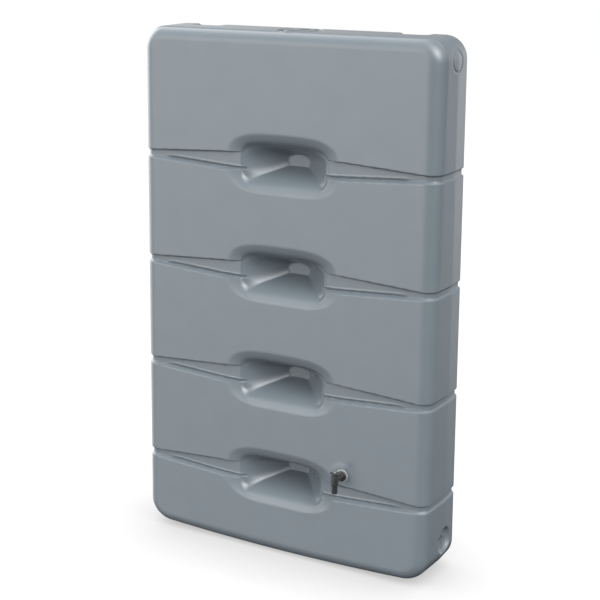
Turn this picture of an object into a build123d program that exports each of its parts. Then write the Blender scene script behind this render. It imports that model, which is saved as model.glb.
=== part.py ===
from build123d import *
import math
import os

os.makedirs("parts", exist_ok=True)

# Slim wall rain tank, millimetres. +Z up, +Y towards the wall, -Y towards the user.
# The origin is on the floor, on the left-right centre line, half way between the wall
# face and the foot of the front face.

# ---- tank body ----
height = 1600.0
width = 1000.0  # over the mould's parting line
rear_y = 115.0  # flat face that stands against the wall
parting_y = 23.0  # where the front and rear mould halves meet
front_foot_y = -115.0  # front face at the floor
front_top_y = -75.0  # front face at the top
side_draft = math.tan(math.radians(3.0))
outline_r = 78.0  # corners seen from the front
front_edge_r = 40.0
rear_edge_r = 32.0
wall = 4.0

# ---- waist grooves and kiss-off pockets ----
groove_heights = [248.0, 559.0, 889.0, 1219.0]
groove_half = 13.0
groove_depth = 6.0
wedge_inner_x = 120.0
wedge_outer_x = 530.0
wedge_half_inner = 32.0
wedge_half_outer = 10.0
wedge_depth = 8.0
pocket_rim = (170.0, 84.0)  # half width and half height where the pocket leaves the face
pocket_flare = (24.0, 16.0)  # added to the rim at the flare's start, in front of the face
pocket_flare_reach = 12.0
pocket_edge = (140.0, 64.0)  # where the soft rim turns into the steep cone
pocket_edge_depth = 12.0
pocket_floor = (37.0, 18.0)  # elliptical disc where front and rear walls are fused
web = 6.0  # thickness of the fused disc
pocket_grow = 6.0  # extra half size on the inside of the cone, so the wall stays about 4
overcut = 14.0  # how far cutting tools stand out of the face they cut

# ---- top: lid well and strap notches ----
well_r = 66.0
well_floor_r = 62.0
well_depth = 30.0
neck_r = 44.0
neck_bore_r = 38.0
neck_top = 1586.0
notch_x = 343.0
notch_width = 100.0
notch_front_y = 45.0
notch_depth = 8.0

# ---- side ports, low, and overflow marks, high ----
port_z = 108.0
dish_r = 44.0
dish_floor_r = 31.0
dish_depth = 14.0
mark_z = 1536.0
mark_r = (28.0, 34.0)
mark_depth = 2.0

# ---- G3/4 threaded bushes, threads drawn as plain cylinders ----
thread_r = 13.15
thread_bore_r = 13.20
thread_bore_length = 18.2
bush_r = 17.0
bush_collar_r = 18.5
bush_collar_length = 5.0
bush_length = 20.0
bush_clearance = 0.05
through_r = 10.5
boss_r = 24.0
boss_length = 24.0
port_plug_sink = 3.0  # plug face below the bush face
port_plug_end = 16.0
socket_flats = 12.0
socket_depth = 9.0
washer_outer_r = 13.0
washer_gap = 0.05

# ---- tap ----
tap_x = 220.0
tap_z = 307.0
tap_pad_r = 30.0
tap_pad_y = -108.5
seal_r = 19.5
seal_thickness = 3.0
thread_length = 17.0
flange_r = 16.0
flange_thickness = 6.0
tube_y = -155.0
tube_r = 10.8
tube_bottom = 268.0
tube_top = 324.0
spout_r = 9.0  # lower end of the tube, stepped in for a hose
spout_top = 292.0
neck_pipe_r = 8.5
passage_r = 5.0
spout_bore_r = 6.5
plug_r = 7.0
plug_bore_r = 7.05
plug_bottom = 292.0
plug_top = 320.0
gland_r = 8.0
stem_r = 4.0
stem_top = 332.0
port_hole_r = 3.8
plug_bore_top = 309.0
ring_minor_r = 0.7
ring_major_r = 6.3
ring_heights = [297.0, 315.5]
hub_r = 9.5
hub_gap = 0.4
hub_top = 334.0
hub_chamfer = 2.0
bar_r = 3.8
bar_half = 16.0
bar_z = 329.9
screw_r = 1.85
screw_head_r = 3.4
screw_head_height = 2.2
screw_length = 12.0
fit_gap = 0.05

# ---- lid ----
lid_r = 49.0
lid_skirt_r = 46.0
lid_bottom = 1572.0
gasket_thickness = 2.0
grip_r = 40.0
grip_bar = 14.0
grip_depth = 9.0
flute_r = 1.6
flute_count = 36


def front_y(z):
    """Front face at height z."""
    return front_foot_y + (front_top_y - front_foot_y) * z / height


def outline(plane, half_drop, inset):
    """Front-view outline of the tank on a plane, narrowed by draft and inset all round."""
    with BuildSketch(plane) as sketch:
        with Locations((0, height / 2)):
            RectangleRounded(
                width - 2 * half_drop - 2 * inset,
                height - 2 * inset,
                outline_r - inset,
            )
    return sketch.sketch


def tank_form(inset):
    """Drafted front and rear halves meeting at the parting plane, shrunk all round by inset."""
    front_end = front_foot_y - 5
    front_drop = (parting_y - front_end) * side_draft
    rear_end = rear_y - inset
    rear_drop = (rear_end - parting_y) * side_draft
    lean = math.atan((front_top_y - front_foot_y) / height)
    middle = outline(Plane.XZ.offset(-parting_y), 0, inset)
    with BuildPart() as form:
        loft([middle.face(), outline(Plane.XZ.offset(-front_end), front_drop, inset).face()], ruled=True)
        loft([middle.face(), outline(Plane.XZ.offset(-rear_end), rear_drop, inset).face()], ruled=True)
        front_plane = Plane(
            origin=(0, front_foot_y + inset, 0),
            x_dir=(1, 0, 0),
            z_dir=(0, -math.cos(lean), math.sin(lean)),
        )
        split(bisect_by=front_plane, keep=Keep.BOTTOM)
        fillet(form.faces().sort_by(Axis.Y)[0].edges(), front_edge_r - inset)
        fillet(form.faces().sort_by(Axis.Y)[-1].edges(), rear_edge_r - inset)
    return form.part


def plan_section(z, inset):
    """Horizontal outline of the tank at height z, moved inwards by inset."""
    front = front_y(z) + inset
    rear = rear_y - inset
    half = width / 2 - inset
    half_front = half - (parting_y - front) * side_draft
    half_rear = half - (rear - parting_y) * side_draft
    with BuildSketch(Plane.XY.offset(z)) as section:
        with BuildLine():
            Polyline(
                (half_front, front),
                (half, parting_y),
                (half_rear, rear),
                (-half_rear, rear),
                (-half, parting_y),
                (-half_front, front),
                close=True,
            )
        make_face()
        corners = section.vertices().sort_by(Axis.Y)
        fillet(corners[:2], front_edge_r - inset)
        fillet(corners[-2:], rear_edge_r - inset)
    return section.sketch


def waist_tool(z, half, depth):
    """Ring that cuts a groove with sloping walls right round the tank at height z."""
    slope_half = half / 2
    over = half + 3
    with BuildPart() as core:
        sections = [
            plan_section(z - over, -2),
            plan_section(z - slope_half, depth),
            plan_section(z + slope_half, depth),
            plan_section(z + over, -2),
        ]
        loft([section.face() for section in sections], ruled=True)
    with BuildPart() as ring:
        with Locations((0, 0, z)):
            Box(width + 60, 400, 2 * over)
        add(core.part, mode=Mode.SUBTRACT)
    return ring.part


def pocket_tool(z, face_y, end_y, grow):
    """Elliptical cone from a flared rim on the face to the fused disc at the parting plane."""
    side = 1 if end_y > face_y else -1
    flare_y = face_y - side * pocket_flare_reach
    stations = [
        (flare_y, pocket_rim[0] + pocket_flare[0], pocket_rim[1] + pocket_flare[1]),
        (face_y + side * pocket_edge_depth, pocket_edge[0], pocket_edge[1]),
        (end_y, pocket_floor[0], pocket_floor[1]),
    ]
    sections = []
    for y, half_width, half_height in stations:
        with BuildSketch(Plane.XZ.offset(-y)) as ellipse:
            with Locations((0, z)):
                Ellipse(half_width + grow, half_height + grow)
        sections.append(ellipse.sketch.face())
    with BuildPart() as cone:
        loft(sections, ruled=True)
    return cone.part


def wedge_tool(z, side, face_y, depth, grow):
    """Flat wedge that widens from the corner towards the pocket, sunk into a face."""
    direction = 1 if face_y < parting_y else -1
    with BuildPart() as wedge:
        with BuildSketch(Plane.XZ.offset(-(face_y - direction * overcut))):
            with BuildLine():
                Polyline(
                    (side * wedge_outer_x, z - wedge_half_outer - grow),
                    (side * wedge_outer_x, z + wedge_half_outer + grow),
                    (side * wedge_inner_x, z + wedge_half_inner + grow),
                    (side * wedge_inner_x, z - wedge_half_inner - grow),
                    close=True,
                )
            make_face()
        extrude(amount=-direction * (overcut + depth))
    return wedge.part


def cone_tool(plane, radii, length):
    """Cone frustum along a plane's normal."""
    with BuildPart() as frustum:
        with BuildSketch(plane):
            Circle(radii[0])
        with BuildSketch(plane.offset(length)):
            Circle(radii[1])
        loft(ruled=True)
    return frustum.part


def side_plane(side, x, z):
    """Plane at a side wall, its normal pointing into the tank."""
    return Plane(origin=(side * x, parting_y, z), x_dir=(0, 1, 0), z_dir=(-side, 0, 0))


def notch_tool(side, grow):
    """Strap notch in the top, open to the wall side."""
    rear_end = rear_y + overcut
    with BuildPart() as notch:
        with Locations((side * notch_x, (notch_front_y + rear_end) / 2, height)):
            Box(
                notch_width + 2 * grow,
                rear_end - notch_front_y + 2 * grow,
                2 * (notch_depth + grow),
            )
    return notch.part


def mark_tool(side):
    """Shallow ring that marks where an overflow can be drilled."""
    with BuildPart() as ring:
        with BuildSketch(side_plane(side, width / 2 + 1, mark_z)):
            Circle(mark_r[1])
            Circle(mark_r[0], mode=Mode.SUBTRACT)
        extrude(amount=mark_depth + 1)
    return ring.part


tap_plane = Plane(origin=(tap_x, tap_pad_y, tap_z), x_dir=(1, 0, 0), z_dir=(0, 1, 0))
lid_centre = (0.0, parting_y)

# ---- tools that cut the outer form and, grown by the wall, the water space ----
outer_cuts = []
cavity_cuts = []
for groove_z in groove_heights:
    outer_cuts.append(waist_tool(groove_z, groove_half, groove_depth))
    cavity_cuts.append(waist_tool(groove_z, groove_half + wall, groove_depth + wall))
    for face_y, towards_web in ((front_y(groove_z), -1), (rear_y, 1)):
        web_face_y = parting_y + towards_web * web / 2
        past_web_y = parting_y - towards_web * 0.5
        outer_cuts.append(pocket_tool(groove_z, face_y, web_face_y, 0))
        cavity_cuts.append(pocket_tool(groove_z, face_y, past_web_y, pocket_grow))
        for side in (-1, 1):
            outer_cuts.append(wedge_tool(groove_z, side, face_y, wedge_depth, 0))
            cavity_cuts.append(wedge_tool(groove_z, side, face_y, wedge_depth + wall, wall))
well_plane = Plane(origin=(0, parting_y, height), x_dir=(1, 0, 0), z_dir=(0, 0, -1))
outer_cuts.append(cone_tool(well_plane, (well_r, well_floor_r), well_depth))
cavity_cuts.append(cone_tool(well_plane, (well_r + wall, well_floor_r + wall), well_depth + wall))
cavity_cuts.append(cone_tool(tap_plane, (boss_r, boss_r), boss_length))
for side in (-1, 1):
    outer_cuts.append(notch_tool(side, 0))
    cavity_cuts.append(notch_tool(side, wall))
    dish_plane = side_plane(side, width / 2, port_z)
    outer_cuts.append(cone_tool(dish_plane, (dish_r, dish_floor_r), dish_depth))
    dish_radii = (dish_r + wall, dish_floor_r + wall)
    cavity_cuts.append(cone_tool(dish_plane, dish_radii, dish_depth + wall))
    cavity_cuts.append(cone_tool(dish_plane, (boss_r, boss_r), dish_depth + boss_length))
    outer_cuts.append(mark_tool(side))
tap_pad = cone_tool(tap_plane, (tap_pad_r, tap_pad_r), 20)
outer_form = tank_form(0)
cavity_form = tank_form(wall)

bush_seats = {
    "tap_bush": tap_plane,
    "port_bush_left": side_plane(-1, width / 2 - dish_depth, port_z),
    "port_bush_right": side_plane(1, width / 2 - dish_depth, port_z),
}

# ---- outer form of the tank ----
with BuildPart() as outer:
    add(outer_form)
    add(tap_pad)
    for cut in outer_cuts:
        add(cut, mode=Mode.SUBTRACT)

# ---- water space ----
with BuildPart() as cavity:
    add(cavity_form)
    for cut in cavity_cuts:
        add(cut, mode=Mode.SUBTRACT)

# ---- tank shell: outer form less water space, with neck and threaded seats ----
with BuildPart() as tank_shell:
    add(outer.part)
    add(cavity.part, mode=Mode.SUBTRACT)
    with BuildSketch(Plane.XY.offset(height - well_depth - wall / 2)):
        with Locations(lid_centre):
            Circle(neck_r)
    extrude(amount=neck_top - (height - well_depth - wall / 2))
    with BuildSketch(Plane.XY.offset(neck_top)):
        with Locations(lid_centre):
            Circle(neck_bore_r)
    extrude(amount=-(well_depth + 2 * wall), mode=Mode.SUBTRACT)
    for seat in bush_seats.values():
        with BuildSketch(seat):
            Circle(bush_collar_r + bush_clearance)
        extrude(amount=bush_collar_length, mode=Mode.SUBTRACT)
        with BuildSketch(seat):
            Circle(bush_r + bush_clearance)
        extrude(amount=bush_length + bush_clearance, mode=Mode.SUBTRACT)
        with BuildSketch(seat):
            Circle(through_r)
        extrude(amount=boss_length + wall, mode=Mode.SUBTRACT)
tank_shell.part.label = "tank_shell"
export_step(tank_shell.part, "parts/tank_shell.step")

# ---- threaded bushes moulded into the tank: one for the tap, one in each side port ----
for name, seat in bush_seats.items():
    with BuildPart() as bush:
        with BuildSketch(seat):
            Circle(bush_collar_r)
        extrude(amount=bush_collar_length - bush_clearance)
        with BuildSketch(seat):
            Circle(bush_r)
        extrude(amount=bush_length)
        with BuildSketch(seat):
            Circle(thread_bore_r)
        extrude(amount=thread_bore_length, mode=Mode.SUBTRACT)
        with BuildSketch(seat):
            Circle(through_r)
        extrude(amount=bush_length, mode=Mode.SUBTRACT)
    bush.part.label = name
    export_step(bush.part, f"parts/{name}.step")

# ---- blanking plugs with a hexagon socket, and the washers they press on ----
for side, name in ((-1, "left"), (1, "right")):
    seat = bush_seats[f"port_bush_{name}"]
    with BuildPart() as port_plug:
        with BuildSketch(seat.offset(port_plug_sink)):
            Circle(thread_r)
        extrude(amount=port_plug_end - port_plug_sink)
        chamfer(port_plug.edges(), 0.8)
        with BuildSketch(seat.offset(port_plug_sink)):
            RegularPolygon(socket_flats / 2, 6, major_radius=False)
        extrude(amount=socket_depth, mode=Mode.SUBTRACT)
    port_plug.part.label = f"port_plug_{name}"
    export_step(port_plug.part, f"parts/port_plug_{name}.step")

    with BuildPart() as washer:
        with BuildSketch(seat.offset(port_plug_end + washer_gap)):
            Circle(washer_outer_r)
            Circle(through_r, mode=Mode.SUBTRACT)
        extrude(amount=thread_bore_length - port_plug_end - 2 * washer_gap)
    washer.part.label = f"port_washer_{name}"
    export_step(washer.part, f"parts/port_washer_{name}.step")

# ---- lid: screw cap with a fluted rim and two finger pockets either side of a grip bar ----
lid_plane = Plane.XZ.offset(-parting_y)
lid_axis = Axis((0, parting_y, 0), (0, 0, 1))
gasket_top = neck_top + gasket_thickness
with BuildPart() as lid:
    with BuildSketch(lid_plane):
        with BuildLine():
            Polyline(
                (0, gasket_top),
                (lid_skirt_r, gasket_top),
                (lid_skirt_r, lid_bottom),
                (lid_r, lid_bottom),
                (lid_r, height - 2),
                (lid_r - 2, height),
                (0, height),
                close=True,
            )
        make_face()
    revolve(axis=lid_axis)
    with BuildSketch(Plane.XY.offset(height)):
        with Locations(lid_centre):
            Circle(grip_r)
            Rectangle(2 * grip_r, grip_bar, mode=Mode.SUBTRACT)
    extrude(amount=-grip_depth, mode=Mode.SUBTRACT)
    with BuildSketch(Plane.XY.offset(lid_bottom)):
        with Locations(lid_centre):
            with PolarLocations(lid_r + flute_r / 2, flute_count):
                Circle(flute_r)
    extrude(amount=height - lid_bottom - 3, mode=Mode.SUBTRACT)
lid.part.label = "lid"
export_step(lid.part, "parts/lid.step")

# ---- flat rubber ring between lid and neck ----
with BuildPart() as lid_gasket:
    with BuildSketch(Plane.XY.offset(neck_top + fit_gap)):
        with Locations(lid_centre):
            Circle(neck_r)
            Circle(neck_bore_r + 0.5, mode=Mode.SUBTRACT)
    extrude(amount=gasket_thickness - 2 * fit_gap)
lid_gasket.part.label = "lid_gasket"
export_step(lid_gasket.part, "parts/lid_gasket.step")

# ---- tap body: threaded stem, flange, pipe and upright tube with the plug bore ----
flange_back_y = tap_pad_y - seal_thickness
flange_plane = Plane(origin=(tap_x, flange_back_y, tap_z), x_dir=(1, 0, 0), z_dir=(0, -1, 0))
tube_point = (tap_x, tube_y)
with BuildPart() as tap_body:
    with BuildSketch(flange_plane):
        Circle(flange_r)
    extrude(amount=flange_thickness)
    chamfer(tap_body.edges().sort_by(Axis.Y)[0], 1.5)
    with BuildSketch(flange_plane):
        Circle(thread_r)
    extrude(amount=-thread_length)
    with BuildSketch(flange_plane):
        Circle(neck_pipe_r)
    extrude(amount=flange_back_y - tube_y)
    with BuildSketch(Plane.XY.offset(tube_bottom)):
        with Locations(tube_point):
            Circle(spout_r)
    extrude(amount=spout_top - tube_bottom)
    with BuildSketch(Plane.XY.offset(spout_top)):
        with Locations(tube_point):
            Circle(tube_r)
    extrude(amount=tube_top - spout_top)
    chamfer(tap_body.edges().group_by(Axis.Z)[-1], 1)
    with BuildSketch(flange_plane.offset(-thread_length)):
        Circle(passage_r)
    extrude(amount=flange_back_y + thread_length - tube_y, mode=Mode.SUBTRACT)
    for bottom, top, bore_r in (
        (tube_bottom, plug_bottom, spout_bore_r),
        (plug_bottom, plug_top, plug_bore_r),
        (plug_top, tube_top, gland_r + fit_gap),
    ):
        with BuildSketch(Plane.XY.offset(bottom)):
            with Locations(tube_point):
                Circle(bore_r)
        extrude(amount=top - bottom, mode=Mode.SUBTRACT)
tap_body.part.label = "tap_body"
export_step(tap_body.part, "parts/tap_body.step")

# ---- turning plug: hollow from below, side port towards +X while the tap is shut ----
with BuildPart() as tap_plug:
    with BuildSketch(Plane.XY.offset(plug_bottom + fit_gap)):
        with Locations(tube_point):
            Circle(plug_r)
    extrude(amount=plug_top - plug_bottom - 2 * fit_gap)
    with BuildSketch(Plane.XY.offset(plug_top - 1)):
        with Locations(tube_point):
            Circle(stem_r)
    extrude(amount=stem_top - plug_top + 1)
    with BuildSketch(Plane.XY.offset(plug_bottom)):
        with Locations(tube_point):
            Circle(port_hole_r)
    extrude(amount=plug_bore_top - plug_bottom, mode=Mode.SUBTRACT)
    with BuildSketch(Plane(origin=(tap_x, tube_y, tap_z), x_dir=(0, 1, 0), z_dir=(1, 0, 0))):
        Circle(port_hole_r)
    extrude(amount=plug_r + 1, mode=Mode.SUBTRACT)
    for ring_z in ring_heights:
        with BuildSketch(Plane.XY.offset(ring_z - ring_minor_r - fit_gap)):
            with Locations(tube_point):
                Circle(plug_r + 1)
                Circle(ring_major_r - ring_minor_r - fit_gap, mode=Mode.SUBTRACT)
        extrude(amount=2 * (ring_minor_r + fit_gap), mode=Mode.SUBTRACT)
    with BuildSketch(Plane.XY.offset(stem_top)):
        with Locations(tube_point):
            Circle(screw_r + fit_gap)
    extrude(amount=-screw_length, mode=Mode.SUBTRACT)
tap_plug.part.label = "tap_plug"
export_step(tap_plug.part, "parts/tap_plug.step")

# ---- the plug's two rubber rings ----
with BuildPart() as tap_rings:
    for ring_z in ring_heights:
        with Locations((tap_x, tube_y, ring_z)):
            Torus(ring_major_r, ring_minor_r)
tap_rings.part.label = "tap_rings"
export_step(tap_rings.part, "parts/tap_rings.step")

# ---- gland ring that keeps the plug down ----
with BuildPart() as tap_gland:
    with BuildSketch(Plane.XY.offset(plug_top)):
        with Locations(tube_point):
            Circle(gland_r)
            Circle(stem_r + fit_gap, mode=Mode.SUBTRACT)
    extrude(amount=tube_top - plug_top)
tap_gland.part.label = "tap_gland"
export_step(tap_gland.part, "parts/tap_gland.step")

# ---- T-bar lever on the plug's stem, across the pipe while the tap is shut ----
with BuildPart() as tap_lever:
    with BuildSketch(Plane.XY.offset(tube_top + hub_gap)):
        with Locations(tube_point):
            Circle(hub_r)
    extrude(amount=hub_top - tube_top - hub_gap)
    chamfer(tap_lever.edges().group_by(Axis.Z)[-1], hub_chamfer)
    bar_plane = Plane(origin=(tap_x - bar_half + bar_r, tube_y, bar_z), x_dir=(0, 1, 0), z_dir=(1, 0, 0))
    with BuildSketch(bar_plane):
        Circle(bar_r)
    extrude(amount=2 * (bar_half - bar_r))
    for side in (-1, 1):
        with Locations((tap_x + side * (bar_half - bar_r), tube_y, bar_z)):
            Sphere(bar_r)
    with BuildSketch(Plane.XY.offset(tube_top)):
        with Locations(tube_point):
            Circle(stem_r + fit_gap)
    extrude(amount=stem_top - tube_top, mode=Mode.SUBTRACT)
    with BuildSketch(Plane.XY.offset(stem_top - 1)):
        with Locations(tube_point):
            Circle(screw_r + fit_gap)
    extrude(amount=hub_top + 1 - stem_top + 1, mode=Mode.SUBTRACT)
tap_lever.part.label = "tap_lever"
export_step(tap_lever.part, "parts/tap_lever.step")

# ---- screw that holds the lever on the stem ----
with BuildPart() as tap_lever_screw:
    with BuildSketch(Plane.XY.offset(hub_top)):
        with Locations(tube_point):
            Circle(screw_head_r)
    extrude(amount=screw_head_height)
    fillet(tap_lever_screw.edges().group_by(Axis.Z)[-1], 0.8)
    with BuildSketch(Plane.XY.offset(hub_top)):
        with Locations(tube_point):
            Circle(screw_r)
    extrude(amount=-screw_length)
    with BuildSketch(Plane.XY.offset(hub_top + screw_head_height)):
        with Locations(tube_point):
            Rectangle(2 * screw_head_r, 0.9)
    extrude(amount=-1.2, mode=Mode.SUBTRACT)
tap_lever_screw.part.label = "tap_lever_screw"
export_step(tap_lever_screw.part, "parts/tap_lever_screw.step")

# ---- flat seal between flange and tank ----
with BuildPart() as tap_seal:
    with BuildSketch(flange_plane.offset(-fit_gap)):
        Circle(seal_r)
        Circle(thread_r + 0.15, mode=Mode.SUBTRACT)
    extrude(amount=-(seal_thickness - 2 * fit_gap))
tap_seal.part.label = "tap_seal"
export_step(tap_seal.part, "parts/tap_seal.step")
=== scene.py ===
import math

import bmesh
import bpy
import numpy as np
from mathutils import Matrix, Vector


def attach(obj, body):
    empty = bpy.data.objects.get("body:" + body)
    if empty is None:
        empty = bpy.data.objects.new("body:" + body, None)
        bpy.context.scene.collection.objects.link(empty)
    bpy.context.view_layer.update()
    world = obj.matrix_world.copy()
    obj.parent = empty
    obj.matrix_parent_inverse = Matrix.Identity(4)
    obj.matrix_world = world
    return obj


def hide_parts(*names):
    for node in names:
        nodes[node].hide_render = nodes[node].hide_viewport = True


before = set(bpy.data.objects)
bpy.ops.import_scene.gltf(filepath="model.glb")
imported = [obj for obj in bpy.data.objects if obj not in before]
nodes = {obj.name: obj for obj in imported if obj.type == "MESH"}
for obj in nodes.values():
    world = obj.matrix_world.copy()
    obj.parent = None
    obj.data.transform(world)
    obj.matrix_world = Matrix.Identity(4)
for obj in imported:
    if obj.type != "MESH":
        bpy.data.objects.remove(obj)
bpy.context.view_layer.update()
MM = 0.001

# ---------------------------------------------------------------- tank, in millimetres
HEIGHT = 1600.0
HALF_WIDTH = 500.0
REAR_Y = 115.0
PARTING_Y = 23.0
FRONT_FOOT_Y = -115.0
LEAN = 0.025  # the front face leans back this much for each unit of height
DRAFT = math.tan(math.radians(3.0))
OUTLINE_R = 78.0  # at the foot
OUTLINE_TOP_R = 66.0
BELLY = 15.0  # how much higher the ends of the underside are than its middle
REAR_EDGE_R = 32.0
TOP_EDGE_R = 36.0
FOOT_EDGE_R = 40.0
SIDE_EDGE_R = (36.0, 45.0)  # at the foot and at the top
WALL = 4.0
GROOVES = (248.0, 559.0, 889.0, 1219.0)
GROOVE_HALF = 13.0
GROOVE_DEPTH = 6.0
PANEL_INNER_X = 152.0
PANEL_OUTER_X = 470.0
PANEL_HALF = 31.0
CHANNEL_END_X = 435.0
CHANNEL_HEIGHT = 15.0
# pocket outlines: half width, half height above, half height below, height of the flat ramp
# that cuts the outline off below, squareness above and below (2 is an ellipse)
POCKET_OUTER = (190.0, 89.0, 89.0, 89.0, 3.3, 3.3)
POCKET_EDGE = (147.0, 54.0, 82.0, 58.0, 3.4, 2.8)
POCKET_FLOOR = (37.0, 18.0, 18.0, 18.0, 2.0, 2.0)
RIM_DEPTH = 13.0
WEB = 3.0  # half the thickness where front and rear walls are fused
LID_CENTRE = (0.0, PARTING_Y)
TAP_X, TAP_Z = 220.0, 307.0
TAP_PAD_Y = -108.5
PORT_Z = 108.0
MARK_Z = 1536.0
MARK_R = 31.0
DISH_DEPTH = 14.0
NOTCH_X = 343.0


def smooth(value):
    """0 below 0, 1 above 1, and an S-curve between."""
    value = np.clip(value, 0.0, 1.0)
    return value * value * (3.0 - 2.0 * value)


def graded(low, high, spots, coarse, growth=0.2):
    """Positions from low to high, close together in each spot (start, end, step)."""
    places = [low]
    while places[-1] < high:
        here = places[-1]
        step = coarse
        for start, end, fine in spots:
            gap = max(start - here, here - end, 0.0)
            step = min(step, fine + growth * gap)
        places.append(here + step)
    places = np.array(places)
    return low + (places - low) * (high - low) / (places[-1] - low)


def box_lattice(xs, ys, zs):
    """Points and quads of a closed box whose faces carry the given grid lines."""
    nx, ny, nz = len(xs), len(ys), len(zs)
    outside = np.zeros((nx, ny, nz), dtype=bool)
    outside[0] = outside[-1] = True
    outside[:, 0] = outside[:, -1] = True
    outside[:, :, 0] = outside[:, :, -1] = True
    number = np.full((nx, ny, nz), -1, dtype=np.int64)
    number[outside] = np.arange(outside.sum())
    i, j, k = np.nonzero(outside)
    points = np.stack([xs[i], ys[j], zs[k]], axis=1)
    sheets = [
        (number[:, 0, :], False), (number[:, -1, :], True),
        (number[0], True), (number[-1], False),
        (number[:, :, 0], True), (number[:, :, -1], False),
    ]
    quads = []
    for sheet, turned in sheets:
        a, b, c, d = sheet[:-1, :-1], sheet[1:, :-1], sheet[1:, 1:], sheet[:-1, 1:]
        corners = (d, c, b, a) if turned else (a, b, c, d)
        quads.append(np.stack(corners, axis=-1).reshape(-1, 4))
    return points, np.concatenate(quads)


def ring_depth(z, inset):
    """Depth of the waist grooves at height z."""
    depth = np.zeros_like(z)
    half = GROOVE_HALF + inset
    for groove in GROOVES:
        depth = np.maximum(depth, GROOVE_DEPTH * smooth((half - np.abs(z - groove)) / 6.5))
    return depth


def panel_depth(x, z, inset):
    """Sunk panel beside each pocket: it widens towards the pocket, over a ridge and a channel."""
    depth = np.zeros_like(z)
    across = np.abs(x)
    part = np.clip((PANEL_OUTER_X - across) / (PANEL_OUTER_X - PANEL_INNER_X), 0.0, 1.0)
    half = GROOVE_HALF + (PANEL_HALF - GROOVE_HALF) * part + inset
    end = smooth((across - 105.0) / 40.0)
    channel = smooth((CHANNEL_END_X - across) / 45.0)
    ridge = -half + CHANNEL_HEIGHT * (0.35 + 0.65 * channel)
    for groove in GROOVES:
        q = z - groove
        floor = 7.6 + 5.9 * smooth((230.0 - across) / 90.0)
        floor = floor + 1.2 * np.clip((half - q) / (half - ridge), 0.0, 1.0)
        floor = floor + 4.2 * channel * smooth((ridge - q) / 8.0)
        floor = floor - 1.3 * channel * np.exp(-(((q - ridge - 0.6) / 2.0) ** 2))
        walls = np.minimum(smooth((half - q) / 4.0), smooth((q + half) / 7.5))
        depth = np.maximum(depth, floor * walls * end)
    return depth


def pocket_outline(t, below, inset):
    """Half width, half height, ramp height and squareness at t: 0 disc, 1 edge, 2 rim."""
    inner = np.minimum(t, 1.0)
    outer = np.maximum(t - 1.0, 0.0)
    early = np.where(inner < 0, inner, np.sqrt(np.clip(inner, 0.0, 1.0)))
    shape = []
    for index, share in enumerate((inner, inner, early, inner, early, early)):
        floor, edge, rim = POCKET_FLOOR[index], POCKET_EDGE[index], POCKET_OUTER[index]
        shape.append(floor + (edge - floor) * share + (rim - edge) * outer)
    half_height = np.where(below, shape[2], shape[1])
    ramp = np.where(below, shape[3], 1000.0)
    power = np.maximum(np.where(below, shape[5], shape[4]), 1.5)
    return shape[0] + inset, half_height + inset, ramp + inset, power


def pocket_shape(x, z, inset):
    """Rim depth and cone share of the pockets: the share is 1 on the fused disc."""
    rim = np.zeros_like(z)
    cone = np.zeros_like(z)
    for groove in GROOVES:
        q = z - groove
        near = (np.abs(x) < 230.0) & (np.abs(q) < 130.0)
        if not near.any():
            continue
        px, pq, below = np.abs(x[near]), np.abs(q[near]), q[near] < 0
        low = np.full_like(px, -0.35)
        high = np.full_like(px, 3.0)
        for _ in range(26):
            middle = (low + high) / 2
            a, b, ramp, power = pocket_outline(middle, below, inset)
            outside = ((px / a) ** power + (pq / b) ** power > 1.0) | (pq > ramp)
            low = np.where(outside, middle, low)
            high = np.where(outside, high, middle)
        t = (low + high) / 2
        rim[near] = np.maximum(rim[near], RIM_DEPTH * np.clip(2.0 - t, 0.0, 1.0) ** 1.25)
        # rounding where the rim turns into the cone: wide above and below, tight at the sides
        edge = 0.12 + np.where(below, 0.2, 0.3) * smooth((pq / np.minimum(b, ramp) - 0.35) / 0.6)
        soft = np.where(t < 1.0 - edge, 1.0 - t, np.clip(1.0 + edge - t, 0.0, None) ** 2 / (4 * edge))
        cone[near] = np.maximum(cone[near], np.clip(soft, 0.0, 1.0))
    return rim, cone


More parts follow.
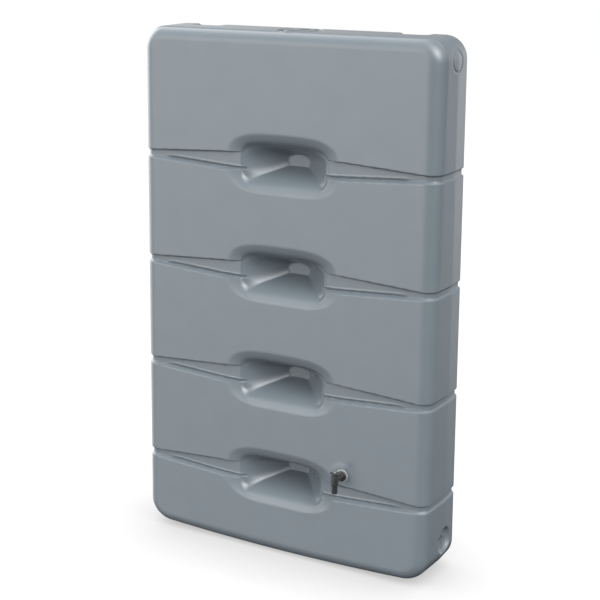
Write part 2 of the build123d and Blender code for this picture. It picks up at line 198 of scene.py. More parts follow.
def tank_points(points, inset):
    """Moves lattice points of the plain box on to the tank's surface, or its inside at inset."""
    x, y, z = points.T.copy()
    half_x, half_z = HALF_WIDTH - inset, HEIGHT / 2 - inset
    front, rear = FRONT_FOOT_Y + inset, REAR_Y - inset
    radius = np.where(z > HEIGHT / 2, OUTLINE_TOP_R, OUTLINE_R) - inset
    on_front = points[:, 1] <= front + 1e-6
    on_rear = points[:, 1] >= rear - 1e-6
    on_band = ~(on_front | on_rear)
    zc = z - HEIGHT / 2
    # round the outline's four corners
    cx = np.clip(np.abs(x) - (half_x - radius), 0.0, None) / radius
    cz = np.clip(np.abs(zc) - (half_z - radius), 0.0, None) / radius
    corner = (cx > 0) & (cz > 0)
    rx = half_x - radius + radius * cx * np.sqrt(1 - cz * cz / 2)
    rz = half_z - radius + radius * cz * np.sqrt(1 - cx * cx / 2)
    x = np.where(corner, np.sign(x) * rx, x)
    zc = np.where(corner, np.sign(zc) * rz, zc)
    # distance in from the outline, and the outline's normal
    qx, qz = np.abs(x) - (half_x - radius), np.abs(zc) - (half_z - radius)
    both = (qx > 0) & (qz > 0)
    length = np.hypot(np.maximum(qx, 0), np.maximum(qz, 0))
    inside = radius - (length + np.minimum(np.maximum(qx, qz), 0.0))
    safe = np.where(length > 1e-9, length, 1.0)
    nx = np.where(both, qx / safe, (qx > qz).astype(float)) * np.sign(x)
    nz = np.where(both, qz / safe, (qx <= qz).astype(float)) * np.sign(zc)
    inside = np.maximum(inside, 0.0)
    foot_x, foot_z = x + nx * inside, zc + nz * inside
    # round the front and rear edges
    side_r = SIDE_EDGE_R[0] + (SIDE_EDGE_R[1] - SIDE_EDGE_R[0]) * points[:, 2] / HEIGHT
    end_r = np.where(nz > 0, TOP_EDGE_R, FOOT_EDGE_R)
    front_r = nx**2 * side_r + nz**2 * end_r - inset
    rear_r = np.full_like(x, REAR_EDGE_R - inset)
    tilt = np.zeros_like(x)  # 0 where the surface faces forwards or back, 90 degrees on the band
    new_in = inside.copy()
    for face, edge_r, level, way in ((on_front, front_r, front, 1.0), (on_rear, rear_r, rear, -1.0)):
        share = np.clip(1 - inside / edge_r, 0, 1)
        bent = face & (share > 0)
        tilt = np.where(bent, share * math.pi / 4, tilt)
        away = (y - level) * way
        share = np.clip(1 - away / edge_r, 0, 1)
        band = on_band & (share > 0)
        tilt = np.where(band, math.pi / 2 - share * math.pi / 4, tilt)
        moved = bent | band
        new_in = np.where(moved, edge_r * (1 - np.sin(tilt)), new_in)
        y = np.where(moved, level + way * edge_r * (1 - np.cos(tilt)), y)
    flat_band = on_band & (tilt == 0)
    tilt = np.where(flat_band, math.pi / 2, tilt)
    new_in = np.where(flat_band, 0.0, new_in)
    x = foot_x - nx * new_in
    z = HEIGHT / 2 + foot_z - nz * new_in
    forward = np.where(y < PARTING_Y, -1.0, 1.0)
    # the front leans back
    weight = np.clip((PARTING_Y - y) / (PARTING_Y - (FRONT_FOOT_Y + FOOT_EDGE_R)), 0.0, 1.0)
    y = y + LEAN * z * weight
    z = z + BELLY * (x / HALF_WIDTH) ** 2 * np.clip(1 - z / 260.0, 0.0, 1.0) ** 2
    # grooves all round, panels and pockets front and rear
    facing = np.cos(tilt)
    ring = ring_depth(z, inset)
    panel = panel_depth(x, z, inset)
    face_depth = np.maximum(ring * smooth((np.abs(x) - 440.0) / 40.0), panel)
    depth = ring * (1 - facing**4) + face_depth * facing**4
    rim, cone = pocket_shape(x, z, inset)
    flat = tilt == 0
    depth = np.where(flat, np.maximum(depth, rim), depth)
    y = y - forward * depth * np.cos(tilt)
    x = x - nx * depth * np.sin(tilt)
    web_y = PARTING_Y + forward * (WEB - 0.62 * inset)
    y = np.where(flat, y + (web_y - y) * cone, y)
    # flat pad round the tap
    if inset == 0:
        reach = np.hypot(x - TAP_X, z - TAP_Z)
        pad = smooth((44.0 - reach) / 18.0) * flat * (forward < 0)
        y = y + (TAP_PAD_Y - y) * pad
        # raised top panel with a crisp step in front, bulging round the lid
        well = np.hypot(x - LID_CENTRE[0], y - LID_CENTRE[1])
        step_y = FRONT_FOOT_Y + LEAN * HEIGHT + TOP_EDGE_R - 1.5
        step = smooth(np.minimum(step_y - y, well - 71.0) / 2.0 + 0.5)
        z = z - 2.5 * step * np.clip(1 - (HEIGHT - z) / 90.0, 0, 1) * np.clip(nz * 2, 0, 1)
        # moulded ring where an overflow can be drilled, and the mould's parting line
        ring_way = np.hypot(y - PARTING_Y, z - MARK_Z)
        flank = (np.abs(nx) > 0.3) & on_band
        mark = 2.4 * smooth((4.2 - np.abs(ring_way - MARK_R)) / 2.4) * flank
        bead = 0.35 * np.exp(-(((y - PARTING_Y) / 1.2) ** 2)) * on_band
        x = x - nx * (mark + bead)
        z = z - nz * bead
    else:
        well = np.hypot(x - LID_CENTRE[0], y - LID_CENTRE[1])
        roof = (nz > 0.5) & on_band
        z = np.where(roof, z - 30.0 * smooth((82.0 - well) / 12.0), z)
        notch = smooth((60.0 - np.abs(np.abs(x) - NOTCH_X)) / 6.0) * smooth((y - 35.0) / 6.0)
        z = np.where(roof, z - 8.0 * notch, z)
        dish = np.hypot(y - PARTING_Y, z - PORT_Z)
        flank = (np.abs(nx) > 0.9) & on_band
        dent = DISH_DEPTH * smooth((60.0 - dish) / 14.0) + 26.0 * smooth((30.0 - dish) / 5.0)
        mark = 3.0 * smooth((46.0 - np.hypot(y - PARTING_Y, z - MARK_Z)) / 5.0)
        x = np.where(flank, x - nx * (dent + mark), x)
        boss = 27.0 * smooth((31.0 - np.hypot(x - TAP_X, z - TAP_Z)) / 5.0)
        y = np.where(flat & (forward < 0), y + boss, y)
    x = x * (HALF_WIDTH - np.abs(y - PARTING_Y) * DRAFT) / HALF_WIDTH
    return np.stack([x, y, z], axis=1)


def tank_lines(fine):
    """Grid lines for the tank: close together over the moulded detail. fine scales the steps."""
    xs = graded(-HALF_WIDTH, HALF_WIDTH, [
        (-500, -455, 4.0 * fine), (455, 500, 4.0 * fine), (-40, 40, 3.2 * fine),
        (-150, 150, 4.4 * fine), (-160, -134, 2.6 * fine), (134, 160, 2.6 * fine),
        (-200, 200, 6.5 * fine), (183, 257, 4.5 * fine),
    ], 16.0 * fine)
    ys = graded(FRONT_FOOT_Y, REAR_Y, [
        (-115, -84, 5.0 * fine), (-83, -77, 1.2 * fine), (83, 115, 5.0 * fine),
        (20, 26, 1.0 * fine), (-12, 58, 2.4 * fine),
    ], 12.0 * fine)
    bands = [
        (0, 45, 5.0 * fine), (1530, 1600, 5.5 * fine), (1562, 1600, 4.0 * fine),
        (270, 345, 4.5 * fine), (MARK_Z - 36, MARK_Z + 36, 2.4 * fine),
    ]
    for groove in GROOVES:
        bands.append((groove - 34, groove + 34, 2.3 * fine))
        bands.append((groove - 90, groove + 90, 3.6 * fine))
    zs = graded(0.0, HEIGHT, bands, 22.0 * fine)
    return xs, ys, zs


def squeeze(lines, low, high):
    """The same spread of lines over a smaller span."""
    return low + (lines - lines[0]) * (high - low) / (lines[-1] - lines[0])


def mesh_object(name, points, faces, scale=MM):
    """Mesh object from points in millimetres."""
    mesh = bpy.data.meshes.new(name)
    mesh.from_pydata((np.asarray(points) * scale).tolist(), [], np.asarray(faces).tolist())
    mesh.update()
    obj = bpy.data.objects.new(name, mesh)
    bpy.context.scene.collection.objects.link(obj)
    return obj


def build_tank():
    """Outer and inner surface of the tank in one closed mesh."""
    xs, ys, zs = tank_lines(1.0)
    points, quads = box_lattice(xs, ys, zs)
    outer = tank_points(points, 0.0)
    xi, yi, zi = tank_lines(2.2)
    xi = squeeze(xi, -HALF_WIDTH + WALL, HALF_WIDTH - WALL)
    yi = squeeze(yi, FRONT_FOOT_Y + WALL, REAR_Y - WALL)
    zi = squeeze(zi, WALL, HEIGHT - WALL)
    points, inner_quads = box_lattice(xi, yi, zi)
    inner = tank_points(points, WALL)
    faces = np.concatenate([quads, inner_quads[:, ::-1] + len(outer)])
    return mesh_object("tank_skin", np.concatenate([outer, inner]), faces)


def arc(centre, radius, start, end, count):
    """Points on an arc in the (radius, height) plane, angles in degrees."""
    angles = np.radians(np.linspace(start, end, count))
    return [(centre[0] + radius * math.cos(a), centre[1] + radius * math.sin(a)) for a in angles]


def lathe(profile, matrix, segments=64, closed=False):
    """Points and faces of a profile of (radius, height) turned about a matrix's z axis.

    An open profile starts and ends on the axis; a closed one makes a ring."""
    points, faces, rings = [], [], []
    for radius, height in profile:
        if radius < 1e-6:
            rings.append([len(points)])
            points.append((0.0, 0.0, height))
            continue
        rings.append(list(range(len(points), len(points) + segments)))
        for step in range(segments):
            angle = 2 * math.pi * step / segments
            points.append((radius * math.cos(angle), radius * math.sin(angle), height))
    pairs = list(zip(rings, rings[1:]))
    if closed:
        pairs.append((rings[-1], rings[0]))
    for low, high in pairs:
        for step in range(segments):
            after = (step + 1) % segments
            if len(low) == 1:
                faces.append((low[0], high[after], high[step]))
            elif len(high) == 1:
                faces.append((low[step], low[after], high[0]))
            else:
                faces.append((low[step], low[after], high[after], high[step]))
    return [tuple(matrix @ Vector(point)) for point in points], faces


def joined(name, parts):
    """One mesh object from several (points, faces) in millimetres, with normals outwards."""
    points, faces = [], []
    for part_points, part_faces in parts:
        start = len(points)
        points.extend(part_points)
        faces.extend(tuple(index + start for index in face) for face in part_faces)
    mesh = bpy.data.meshes.new(name)
    mesh.from_pydata([tuple(MM * value for value in point) for point in points], [], faces)
    work = bmesh.new()
    work.from_mesh(mesh)
    bmesh.ops.recalc_face_normals(work, faces=work.faces)
    work.to_mesh(mesh)
    work.free()
    obj = bpy.data.objects.new(name, mesh)
    bpy.context.scene.collection.objects.link(obj)
    return obj


def axis_frame(origin, axis):
    """Matrix whose z axis points along axis from origin."""
    turn = Vector(axis).to_track_quat("Z", "Y").to_matrix().to_4x4()
    return Matrix.Translation(Vector(origin)) @ turn


# ---------------------------------------------------------------- seats cut into the tank
WELL_R = 66.0
WELL_FLOOR_R = 62.0
WELL_FLOOR_Z = 1570.0
NECK_R = 44.0
NECK_BORE_R = 38.0
NECK_TOP = 1586.0
DISH_R = 44.0
DISH_FLOOR_R = 31.0
SEAT_PROFILE = [(18.55, 0.0), (18.55, 5.0), (17.05, 5.0), (17.05, 20.05), (10.5, 20.05), (10.5, 36.0)]


def well_cutter():
    """Lid well with a rounded lip, a raised neck in it, and the neck's bore."""
    top = HEIGHT + 12.0
    profile = [(0.0, top), (WELL_R + 3.0, top)]
    profile += arc((WELL_R + 3.0, HEIGHT - 3.0), 3.0, 90, 180, 7)
    profile += arc((WELL_FLOOR_R - 4.0, WELL_FLOOR_Z + 4.0), 4.0, 0, -90, 6)
    profile += arc((NECK_R + 2.0, WELL_FLOOR_Z + 2.0), 2.0, -90, -180, 5)
    profile += arc((NECK_R - 1.0, NECK_TOP - 1.0), 1.0, 0, 90, 4)
    profile += arc((NECK_BORE_R + 1.0, NECK_TOP - 1.0), 1.0, 90, 180, 4)
    profile += [(NECK_BORE_R, WELL_FLOOR_Z - 20.0), (0.0, WELL_FLOOR_Z - 20.0)]
    return lathe(profile, axis_frame((LID_CENTRE[0], LID_CENTRE[1], 0.0), (0, 0, 1)), 128)


def dish_cutter(side):
    """Dished recess round a side port, with the stepped seat of its bush."""
    profile = [(0.0, -10.0), (DISH_R + 3.0, -10.0), (DISH_R + 3.0, -1.5)]
    profile += [(DISH_R + 0.6, 0.6), (DISH_R - 1.0, 2.4)]
    profile += [(DISH_FLOOR_R + 5.5, DISH_DEPTH - 5.0), (DISH_FLOOR_R + 2.5, DISH_DEPTH - 1.8)]
    profile += [(DISH_FLOOR_R - 1.0, DISH_DEPTH)]
    profile += [(radius, depth + DISH_DEPTH) for radius, depth in SEAT_PROFILE]
    profile += [(0.0, SEAT_PROFILE[-1][1] + DISH_DEPTH)]
    return lathe(profile, axis_frame((side * HALF_WIDTH, PARTING_Y, PORT_Z), (-side, 0, 0)), 96)


def tap_cutter():
    """Stepped seat of the tap's bush."""
    profile = [(0.0, -10.0), (SEAT_PROFILE[0][0], -10.0)] + SEAT_PROFILE[1:]
    profile += [(0.0, SEAT_PROFILE[-1][1])]
    return lathe(profile, axis_frame((TAP_X, TAP_PAD_Y, TAP_Z), (0, 1, 0)), 64)


def notch_cutter(side):
    """Shallow strap notch with rounded corners, open to the wall side."""
    half_x, front, back, radius = 50.0, 45.0, REAR_Y + 12.0, 14.0
    outline = []
    for cx, cy, start in ((-1, 1, 180), (1, 1, 270), (1, -1, 0), (-1, -1, 90)):
        corner_y = front + radius if cy > 0 else back - radius
        outline += arc((cx * (half_x - radius), corner_y), radius, start, start + 90, 8)
    levels = [(HEIGHT - 8.0, -1.5), (HEIGHT - 7.0, 0.0), (HEIGHT - 1.5, 1.5), (HEIGHT + 10.0, 8.0)]
    middle_y = (front + back) / 2
    points, faces = [], []
    count = len(outline)
    for z, grow in levels:
        for x, y in outline:
            scale_x = (half_x + grow) / half_x
            scale_y = ((back - front) / 2 + grow) / ((back - front) / 2)
            points.append((side * NOTCH_X + x * scale_x, middle_y + (y - middle_y) * scale_y, z))
    for level in range(len(levels) - 1):
        for step in range(count):
            after = (step + 1) % count
            base = level * count
            faces.append((base + step, base + after, base + count + after, base + count + step))
    faces.append(tuple(range(count)))
    faces.append(tuple(range((len(levels) - 1) * count, len(levels) * count)))
    return points, faces


def finish_shading(obj, angle=32.0):
    """Smooth shading, with edges sharper than the angle in degrees kept sharp."""
    obj.data.shade_smooth()
    obj.data.set_sharp_from_angle(angle=math.radians(angle))


def combine(target, cutter, operation):
    """Cuts a mesh out of the target or joins it on, and removes it."""
    modifier = target.modifiers.new("combine", "BOOLEAN")
    modifier.operation = operation
    modifier.solver = "EXACT"
    modifier.object = cutter
    evaluated = target.evaluated_get(bpy.context.evaluated_depsgraph_get())
    mesh = bpy.data.meshes.new_from_object(evaluated)
    target.modifiers.clear()
    old = target.data
    target.data = mesh
    bpy.data.meshes.remove(old)
    bpy.data.objects.remove(cutter)


def build_cut_tank():
    """The tank with its well, neck, port dishes, bush seats and strap notches."""
    skin = build_tank()
    parts = [well_cutter(), tap_cutter()]
    for side in (-1, 1):
        parts += [dish_cutter(side), notch_cutter(side)]
    combine(skin, joined("cutters", parts), "DIFFERENCE")
    finish_shading(skin)
    return skin


tank = build_cut_tank()
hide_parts("tank_shell")
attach(tank, "tank")

# ---------------------------------------------------------------- lid and tap
LID_R = 49.0
LID_SKIRT_R = 46.0
LID_BOTTOM = 1572.0
LID_TOP = 1600.0
GRIP_R = 40.0
GRIP_HALF = 7.0
GRIP_DEPTH = 9.0
FLUTES = 36
TUBE = (TAP_X, -155.0)


def ring_band(points, faces, rings):
    """Quads between closed rings of equal length, appended to points and faces."""
    start = len(points)
    count = len(rings[0])
    for ring in rings:
        points.extend(ring)
    for level in range(len(rings) - 1):
        for step in range(count):
            after = (step + 1) % count
            base = start + level * count
            faces.append((base + step, base + after, base + count + after, base + count + step))
    return start, start + (len(rings) - 1) * count


def build_lid():
    """Screw cap with a fluted rim, rounded top edge and two finger pockets beside a grip bar."""
    segments = FLUTES * 8
    angles = [2 * math.pi * step / segments for step in range(segments)]

    def ring(radius, z, flute=0.0):
        waves = [radius - flute * (0.5 - 0.5 * math.cos(FLUTES * angle)) ** 1.5 for angle in angles]
        return [(r * math.cos(a), LID_CENTRE[1] + r * math.sin(a), z) for r, a in zip(waves, angles)]

    rings = [ring(LID_SKIRT_R, 1588.0), ring(LID_SKIRT_R, LID_BOTTOM), ring(LID_R - 0.6, LID_BOTTOM, 1.0)]
    rings += [ring(LID_R, LID_BOTTOM + 0.8, 1.5), ring(LID_R, LID_TOP - 5.0, 1.5)]
    for radius, z in arc((LID_R - 3.0, LID_TOP - 3.0), 3.0, 0, 90, 8):
        rings.append(ring(radius, z, 1.5 * (1 - (z - (LID_TOP - 3.0)) / 3.0)))
    points, faces = [], []
    first, last = ring_band(points, faces, rings)
    faces.append(tuple(range(last, last + segments)))
    faces.append(tuple(reversed(range(first, first + segments))))
    lid = joined("lid_cap", [(points, faces)])
    half_moons = []
    for side in (-1, 1):
        outline = []
        reach = GRIP_R - 3.0
        start = math.degrees(math.asin((GRIP_HALF + 3.0) / reach))
        for radius, angle in arc((0.0, 0.0), reach, start, 180 - start, 28):
            outline.append((radius, angle))
        levels = []
        for z, grow in ((LID_TOP - GRIP_DEPTH, -3.0), (LID_TOP - GRIP_DEPTH + 0.8, -1.0),
                        (LID_TOP - GRIP_DEPTH + 3.0, 0.0), (LID_TOP - 1.2, 0.6), (LID_TOP - 0.3, 1.2),
                        (LID_TOP + 2.0, 3.0)):
            level = []
            middle = (0.0, (GRIP_HALF + GRIP_R) / 2)
            for x, y in outline:
                dx, dy = x - middle[0], y - middle[1]
                length = math.hypot(dx, dy)
                level.append((x + grow * dx / length, LID_CENTRE[1] + side * (y + grow * dy / length), z))
            levels.append(level)
        moon_points, moon_faces = [], []
        first, last = ring_band(moon_points, moon_faces, levels)
        count = len(outline)
        moon_faces.append(tuple(range(last, last + count)))
        moon_faces.append(tuple(reversed(range(first, first + count))))
        half_moons.append((moon_points, moon_faces))
    combine(lid, joined("finger_pockets", half_moons), "DIFFERENCE")
    finish_shading(lid, 35.0)
    return lid


def build_tap_body():
    """Flange, neck pipe, stepped spout and tube with rounded edges, bored for the plug."""
    axis = axis_frame((TUBE[0], TUBE[1], 0.0), (0, 0, 1))
    tube = [(6.5, 268.0)]
    tube += arc((8.2, 268.8), 0.8, -90, 0, 4)
    tube += [(9.0, 290.5), (9.3, 292.0), (10.4, 294.0)]
    tube += arc((9.8, 296.0), 1.0, -20, 0, 3)
    tube += arc((9.6, 322.8), 1.2, 0, 90, 6)
    tube += [(8.05, 324.0), (8.05, 320.0), (7.05, 320.0), (7.05, 292.0), (6.5, 292.0)]
    body = joined("tap_casting", [lathe(tube, axis, 64, closed=True)])
    back_y = TAP_PAD_Y - 3.0
    pipe_axis = axis_frame((TAP_X, back_y, TAP_Z), (0, -1, 0))
    pipe = [(0.0, -17.0)]
    for turn in range(9):
        pipe += [(13.15, -16.6 + 1.814 * turn), (12.4, -15.7 + 1.814 * turn)]
    pipe += [(13.15, 0.0), (15.2, 0.0), (16.0, 0.8), (16.0, 4.2)]
    pipe += arc((14.6, 4.6), 1.4, 10, 90, 5)
    pipe += arc((10.5, 8.0), 2.0, -90, -180, 6)
    pipe += [(8.5, 36.8), (0.0, 36.8)]
    stem = joined("tap_stem", [lathe(pipe, pipe_axis, 64)])
    way_through = [(0.0, -20.0), (5.0, -20.0), (5.0, 43.0), (0.0, 43.0)]
    passage = joined("tap_passage", [lathe(way_through, pipe_axis, 32)])
    bore = [(0.0, 318.0), (7.05, 318.0), (7.05, 292.0), (6.5, 292.0), (6.5, 260.0), (0.0, 260.0)]
    combine(body, stem, "UNION")
    combine(body, joined("tap_bore", [lathe(bore, axis, 48)]), "DIFFERENCE")
    combine(body, passage, "DIFFERENCE")
    finish_shading(body, 40.0)
    return body


def build_tap_lever():
    """Hub and rounded T-bar, blended together, with the stem and screw holes."""
    hub_axis = axis_frame((TUBE[0], TUBE[1], 0.0), (0, 0, 1))
    hub = [(0.0, 324.4), (9.0, 324.4), (9.5, 324.9), (9.5, 331.0)]
    hub += arc((7.2, 331.7), 2.3, 0, 90, 8)
    hub += [(0.0, 334.0)]
    lever = joined("tap_handle", [lathe(hub, hub_axis, 64)])
    bar_axis = axis_frame((TUBE[0], TUBE[1], 329.9), (1, 0, 0))
    bar = [(0.0, -16.0)]
    bar += [(r, z) for r, z in arc((0.0, -12.2), 3.8, -80, -10, 8)]
    bar += [(3.3, -7.0), (3.3, 7.0)]
    bar += [(r, z) for r, z in arc((0.0, 12.2), 3.8, 10, 80, 8)]
    bar += [(0.0, 16.0)]
    combine(lever, joined("tap_bar", [lathe(bar, bar_axis, 32)]), "UNION")
    hole = [(0.0, 320.0), (4.05, 320.0), (4.05, 332.0), (1.9, 332.0), (1.9, 340.0), (0.0, 340.0)]
    combine(lever, joined("lever_hole", [lathe(hole, hub_axis, 32)]), "DIFFERENCE")
    finish_shading(lever, 40.0)
    return lever


lid = build_lid()
tap_body = build_tap_body()
tap_lever = build_tap_lever()
for piece, node, body, slot in (
    (lid, "lid", "lid", "lid"),
    (tap_body, "tap_body", "tank", "tap"),
    (tap_lever, "tap_lever", "tap_valve", "tap"),
):
    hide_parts(node)
    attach(piece, body)

# ---------------------------------------------------------------- materials


class Graph:
    """Short helper for a material's or world's node tree."""

    def __init__(self, tree):
        self.tree = tree

    def add(self, kind, **settings):
        node = self.tree.nodes.new(kind)
        for name, value in settings.items():
            setattr(node, name, value)
        return node

    def math(self, operation, *values):
        node = self.add("ShaderNodeMath", operation=operation)
        for index, value in enumerate(values):
            self.feed(node.inputs[index], value)
        return node.outputs[0]

    def feed(self, socket, value):
        if isinstance(value, bpy.types.NodeSocket):
            self.tree.links.new(value, socket)
        else:
            socket.default_value = value

    def noise(self, place, scale, detail=2.0):
        node = self.add("ShaderNodeTexNoise")
        self.feed(node.inputs["Vector"], place)
        node.inputs["Scale"].default_value = scale
        node.inputs["Detail"].default_value = detail
        return node.outputs["Fac"]

    def spread(self, value, low, high):
        node = self.add("ShaderNodeMapRange")
        self.feed(node.inputs["Value"], value)
        node.inputs["From Min"].default_value = 0.3
        node.inputs["From Max"].default_value = 0.7
        node.inputs["To Min"].default_value = low
        node.inputs["To Max"].default_value = high
        return node.outputs["Result"]


def finish(name, colour, other, roughness, swing, patch, grain, relief, metallic=0.0, stretch=(1, 1, 1)):
    """Principled material: two close colours in soft patches, uneven gloss and a fine grain.

    patch and grain are sizes in metres, relief the height of the grain in metres."""
    material = bpy.data.materials.new(name)
    material.use_nodes = True
    graph = Graph(material.node_tree)
    shader = material.node_tree.nodes["Principled BSDF"]
    shader.inputs["Metallic"].default_value = metallic
    place = graph.add("ShaderNodeTexCoord").outputs["Object"]
    scaled = graph.add("ShaderNodeMapping")
    graph.feed(scaled.inputs["Vector"], place)
    scaled.inputs["Scale"].default_value = stretch
    spot = scaled.outputs["Vector"]
    mix = graph.add("ShaderNodeMix", data_type="RGBA")
    graph.feed(mix.inputs["Factor"], graph.spread(graph.noise(spot, 1.0 / patch, 3.0), 0.0, 1.0))
    mix.inputs["A"].default_value = (*colour, 1.0)
    mix.inputs["B"].default_value = (*other, 1.0)
    graph.feed(shader.inputs["Base Color"], mix.outputs["Result"])
    uneven = graph.noise(spot, 2.7 / patch, 2.0)
    graph.feed(shader.inputs["Roughness"], graph.spread(uneven, roughness - swing, roughness + swing))
    fine = graph.noise(spot, 1.0 / grain, 2.0)
    bump = graph.add("ShaderNodeBump")
    bump.inputs["Strength"].default_value = 1.0
    bump.inputs["Distance"].default_value = relief
    graph.feed(bump.inputs["Height"], fine)
    graph.feed(shader.inputs["Normal"], bump.outputs["Normal"])
    return material, graph, place, bump


def pocket_disc_relief(graph, place, base):
    """Adds the fused discs' raised edge and faint cross lines to a height."""
    split = graph.add("ShaderNodeSeparateXYZ")
    graph.feed(split.inputs["Vector"], place)
    x, z = split.outputs["X"], split.outputs["Z"]
    across = graph.math("POWER", graph.math("ABSOLUTE", graph.math("DIVIDE", x, MM * POCKET_FLOOR[0])), 2.0)
    lines = graph.math("SINE", graph.math("MULTIPLY", z, 2 * math.pi / 0.0052))
    total = base
    for groove in GROOVES:
        off = graph.math("DIVIDE", graph.math("SUBTRACT", z, MM * groove), MM * POCKET_FLOOR[1])
        reach = graph.math("ADD", across, graph.math("POWER", graph.math("ABSOLUTE", off), 2.0))
        inside = graph.math("LESS_THAN", reach, 0.8)
        edge = graph.math("LESS_THAN", graph.math("ABSOLUTE", graph.math("SUBTRACT", reach, 0.9)), 0.1)
        mark = graph.math("MULTIPLY_ADD", graph.math("MULTIPLY", inside, lines), 0.7, edge)
        total = graph.math("MULTIPLY_ADD", mark, 1.0, total)
    return total


TANK_COLOUR = (0.124, 0.147, 0.166)
tank_plastic, tank_graph, tank_place, tank_bump = finish(
    "tank_polyethylene", TANK_COLOUR, (0.130, 0.153, 0.172), 0.24, 0.015, 0.09, 0.0016, 0.00003)
grain_height = tank_bump.inputs["Height"].links[0].from_socket
tank_graph.feed(tank_bump.inputs["Height"], pocket_disc_relief(tank_graph, tank_place, grain_height))
bush_plastic = finish("bush_polymer", (0.115, 0.137, 0.155), (0.125, 0.148, 0.166),
                      0.3, 0.03, 0.012, 0.0009, 0.00003)[0]
lid_plastic = finish("lid_plastic", (0.088, 0.103, 0.116), (0.098, 0.114, 0.127),
                     0.33, 0.04, 0.02, 0.0008, 0.00004)[0]
tap_black = finish("tap_plastic", (0.022, 0.024, 0.024), (0.03, 0.032, 0.032),
                   0.27, 0.04, 0.012, 0.0006, 0.00002)[0]
inner_black = finish("tap_inner_plastic", (0.04, 0.041, 0.042), (0.05, 0.051, 0.052),
                     0.4, 0.04, 0.008, 0.0005, 0.00002)[0]
rubber = finish("black_rubber", (0.016, 0.016, 0.017), (0.024, 0.024, 0.025),
                0.68, 0.06, 0.01, 0.0004, 0.00004)[0]
pale_seal = finish("pale_seal_rubber", (0.34, 0.35, 0.35), (0.28, 0.29, 0.29),
                   0.55, 0.06, 0.008, 0.0005, 0.00003)[0]
steel = finish("turned_steel", (0.52, 0.52, 0.53), (0.62, 0.62, 0.63),
               0.32, 0.06, 0.003, 0.00025, 0.00001, metallic=1.0, stretch=(1.0, 1.0, 6.0))[0]
FINISHES = {
    "lid_gasket": rubber, "tap_rings": rubber, "port_washer_left": rubber, "port_washer_right": rubber,
    "tap_seal": pale_seal, "tap_lever_screw": steel, "tap_plug": inner_black, "tap_gland": inner_black,
    "tap_bush": bush_plastic, "port_bush_left": bush_plastic, "port_bush_right": bush_plastic,
    "port_plug_left": bush_plastic, "port_plug_right": bush_plastic,
}
for name, node in nodes.items():
    node.data.materials.clear()
    node.data.materials.append(FINISHES.get(name, tap_black))
for piece, material in (
    (tank, tank_plastic), (lid, lid_plastic), (tap_body, tap_black), (tap_lever, tap_black),
):
    piece.data.materials.clear()
    piece.data.materials.append(material)

# ---------------------------------------------------------------- studio
# soft lights round the tank: bearing from +X and height above the horizon in degrees,
# strength, and tightness (larger is a smaller light)
LIGHTS = {
    "key": (-30, 35, 13.0, 15.0),
    "front fill": (-120, 10, 4.5, 8.0),
    "left": (170, 10, 5.5, 8.0),
    "rear above": (145, 45, 2.5, 8.0),
    "right above": (0, 50, 2.0, 10.0),
    "top": (-60, 75, 2.5, 10.0),
    "right rear": (75, 0, 1.8, 20.0),
}


FLOOR_SIZE = 15000.0  # half the floor's width, in millimetres
SHADOW_REACH = 0.4  # how far from the tank the floor darkens, in metres
SHADOW_DARKEST = 0.45
SHADOW_RANGE = 0.64
CAMERA_PLACE = (2.0289, -3.5128, 1.9223)  # metres
CAMERA_TILT = 74.47  # degrees up from straight down
CAMERA_BEARING = 29.85
CAMERA_LENS = 83.31
SENSOR_WIDTH = 36.0


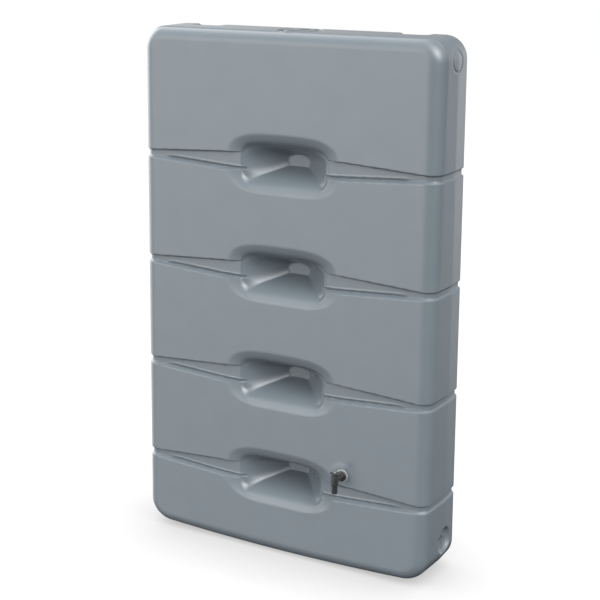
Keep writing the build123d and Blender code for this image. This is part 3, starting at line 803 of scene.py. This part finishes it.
def add_floor():
    """Pale floor that darkens near the tank and throws no light back on it."""
    size = FLOOR_SIZE
    corners = [(-size, -size, 0), (size, -size, 0), (size, size, 0), (-size, size, 0)]
    floor = mesh_object("floor", corners, [(0, 1, 2, 3)])
    material = bpy.data.materials.new("floor_white")
    material.use_nodes = True
    graph = Graph(material.node_tree)
    material.node_tree.nodes.clear()
    nearby = graph.add("ShaderNodeAmbientOcclusion", samples=16)
    nearby.inputs["Distance"].default_value = SHADOW_REACH
    glow = graph.add("ShaderNodeEmission")
    shade = graph.math("MULTIPLY_ADD", nearby.outputs["AO"], SHADOW_RANGE, SHADOW_DARKEST)
    graph.feed(glow.inputs["Strength"], shade)
    graph.feed(graph.add("ShaderNodeOutputMaterial").inputs["Surface"], glow.outputs["Emission"])
    floor.data.materials.append(material)
    floor.visible_diffuse = False
    floor.visible_glossy = False
    floor.visible_transmission = False
    floor.visible_shadow = False
    return floor


def add_camera():
    """Camera at the photograph's viewing angle."""
    data = bpy.data.cameras.new("camera")
    data.lens = CAMERA_LENS
    data.sensor_width = SENSOR_WIDTH
    camera = bpy.data.objects.new("camera", data)
    camera.location = CAMERA_PLACE
    camera.rotation_euler = (math.radians(CAMERA_TILT), 0.0, math.radians(CAMERA_BEARING))
    bpy.context.scene.collection.objects.link(camera)
    bpy.context.scene.camera = camera


def add_world():
    """White backdrop for the camera, and soft round lights that only the tank sees."""
    world = bpy.data.worlds.new("studio")
    world.use_nodes = True
    graph = Graph(world.node_tree)
    world.node_tree.nodes.clear()
    way = graph.add("ShaderNodeTexCoord").outputs["Generated"]
    total = 0.0
    for bearing, height, strength, tightness in LIGHTS.values():
        bearing, height = math.radians(bearing), math.radians(height)
        level = math.cos(height)
        towards = (level * math.cos(bearing), level * math.sin(bearing), math.sin(height))
        dot = graph.add("ShaderNodeVectorMath", operation="DOT_PRODUCT")
        graph.feed(dot.inputs[0], way)
        dot.inputs[1].default_value = towards
        power = graph.math("MULTIPLY_ADD", dot.outputs["Value"], tightness, math.log(strength) - tightness)
        total = graph.math("ADD", graph.math("EXPONENT", power), total)
    light = graph.add("ShaderNodeBackground")
    graph.feed(light.inputs["Strength"], total)
    backdrop = graph.add("ShaderNodeBackground")
    backdrop.inputs["Color"].default_value = (1.0, 1.0, 1.0, 1.0)
    mix = graph.add("ShaderNodeMixShader")
    graph.feed(mix.inputs[0], graph.add("ShaderNodeLightPath").outputs["Is Camera Ray"])
    graph.feed(mix.inputs[1], light.outputs[0])
    graph.feed(mix.inputs[2], backdrop.outputs[0])
    graph.feed(graph.add("ShaderNodeOutputWorld").inputs["Surface"], mix.outputs[0])
    bpy.context.scene.world = world


add_floor()
add_camera()
add_world()
bpy.context.scene.view_settings.view_transform = "Standard"
